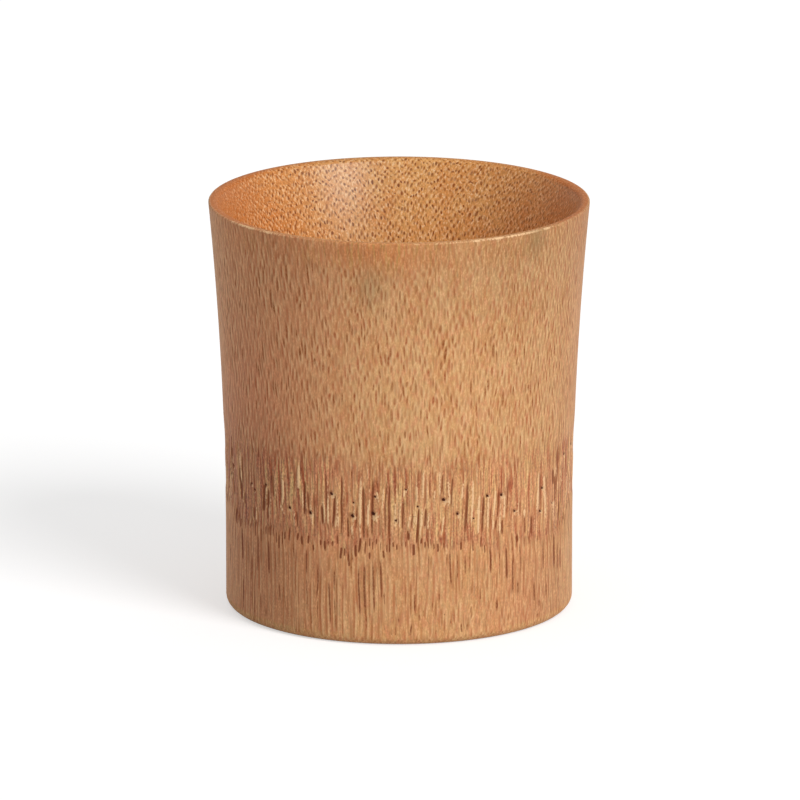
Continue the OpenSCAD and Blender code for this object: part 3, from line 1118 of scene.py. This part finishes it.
def make_wall():
    """The culm wall with its lip, foot ring and the rough band at its node."""
    lathe = wall_lathe()
    on = wall_fields(lathe)
    faces, zones = lathe.faces(True)
    materials = [
        bamboo("bamboo_outside", OUTER_GRAIN, OUTER_GLOSS),
        bamboo("bamboo_inside", INNER_GRAIN, INNER_GLOSS),
        bamboo("bamboo_bare", OUTER_GRAIN, BARE_GLOSS),
        bamboo("bamboo_lip", LIP_GRAIN, LIP_GLOSS),
    ]
    wall = make_piece("culm_wall_turned", on.angle, on.radius, on.z, faces, zones, materials)
    store(wall, "grain", *wall_grain(on))
    store(wall, "node", *wall_node(on))
    store(wall, "pits", np.where(on.outside, on.aside, NO_PIT), on.above, on.front_lip)
    store(wall, "tone", *wall_tone(on))
    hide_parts("culm_wall", "outer_lacquer", "lining_lacquer")
    return wall


# Floor

LINED, UNDERSIDE = 0, 1

HUB_COLUMNS = COLUMNS // 4


def disc_rings(z, edge):
    """Rings of a flat disc from its middle to its edge, with fewer points towards the middle."""
    hub = np.linspace(1.5, 4, num=3)
    middle = np.array([6.0])
    outer = np.linspace(8, edge, num=9)
    parts = ((hub, HUB_COLUMNS), (middle, COLUMNS // 2), (outer, COLUMNS))
    return [(np.stack([radii, np.full(len(radii), z)], 1), columns) for radii, columns in parts]


def make_floor():
    """The cross wall that is the floor of the bowl, with coved edges above and below."""
    lathe = Lathe()
    for outline, columns in disc_rings(FLOOR_H, COVE[0]):
        lathe.turn(outline, LINED, columns)
    lathe.turn(arc(COVE, COVE_R, -90, COVE_SEAT, steps=8)[1:], LINED)
    lathe.turn(arc(HOLLOW, RECESS_COVE_R, HOLLOW_SEAT, 90, steps=6)[:-1], UNDERSIDE)
    for outline, columns in reversed(disc_rings(UNDER_Z, HOLLOW[0])):
        lathe.turn(outline[::-1], UNDERSIDE, columns)
    angle, radius, z, _ = lathe.points()
    faces, zones = lathe.faces(False)
    faces.append(tuple(range(HUB_COLUMNS)))
    faces.append(tuple(range(len(z) - 1, len(z) - 1 - HUB_COLUMNS, -1)))
    zones += [LINED, UNDERSIDE]
    materials = [
        tangled_bamboo("floor_lined", FLOOR_GRAIN, FLOOR_GLOSS),
        tangled_bamboo("floor_underside", UNDER_GRAIN, UNDER_GLOSS),
    ]
    floor = make_piece("node_floor", angle, radius, z, faces, zones, materials)
    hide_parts("node_diaphragm", "underside_lacquer")
    return floor


# Studio, with distances in metres

AMBIENT = 0.46
KEY_LEVEL = 0.6
KEY_AZIMUTH = math.radians(42)
KEY_ELEVATION = math.radians(37)
KEY_SPREAD = math.radians(28)
VIEW_END = 20
WHITE = (1, 1, 1, 1)
FLOOR_COLOUR = (0.62, 0.62, 0.62, 1)
FLOOR_GLOW = 0.54
FLOOR_REACH = 4.0


def make_camera():
    """The camera, in front of the cup and a little above it."""
    data = bpy.data.cameras.new("camera")
    data.sensor_fit = "HORIZONTAL"
    data.sensor_width = SENSOR
    data.lens = FOCAL * SENSOR / PICTURE
    camera = placed("camera", data)
    aside = (PICTURE / 2 - AXIS_COLUMN) * CAMERA_DISTANCE / FOCAL
    back = CAMERA_DISTANCE * math.cos(CAMERA_ELEVATION)
    up = AIM_Z + CAMERA_DISTANCE * math.sin(CAMERA_ELEVATION)
    camera.location = (aside * MM, -back * MM, up * MM)
    camera.rotation_euler = (math.pi / 2 - CAMERA_ELEVATION, 0, 0)
    data.clip_end = VIEW_END
    bpy.context.scene.camera = camera


def make_light():
    """Even white light all round, and a soft key light from the front right."""
    world = bpy.data.worlds.new("studio")
    world.use_nodes = True
    background = world.node_tree.nodes["Background"]
    background.inputs["Color"].default_value = WHITE
    background.inputs["Strength"].default_value = AMBIENT
    bpy.context.scene.world = world
    data = bpy.data.lights.new("key", "SUN")
    data.angle = KEY_SPREAD
    data.energy = KEY_LEVEL * math.pi
    key = placed("key", data)
    key.rotation_euler = (math.pi / 2 - KEY_ELEVATION, 0, KEY_AZIMUTH)


def make_studio_floor():
    """A pale floor that keeps the cup's shadow and reads as white."""
    graph = Graph("studio_floor")
    rays = [graph.made("ShaderNodeLightPath", {}, kind) for kind in ("Is Camera Ray", "Is Glossy Ray")]
    graph.fill(graph.shader, {
        "Base Color": FLOOR_COLOUR,
        "Roughness": 1.0,
        "Specular IOR Level": 0.0,
        "Emission Color": WHITE,
        "Emission Strength": graph.math("MAXIMUM", *rays) * FLOOR_GLOW,
    })
    mesh = bpy.data.meshes.new("studio_floor")
    reach = FLOOR_REACH
    corners = [(-reach, -reach, 0), (reach, -reach, 0), (reach, reach, 0), (-reach, reach, 0)]
    mesh.from_pydata(corners, [], [(0, 1, 2, 3)])
    mesh.materials.append(graph.material)
    placed("studio_floor", mesh)


bpy.context.scene.view_settings.view_transform = "Standard"
make_camera()
make_light()
make_studio_floor()
for piece in (make_wall(), make_floor()):
    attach(piece, "root")
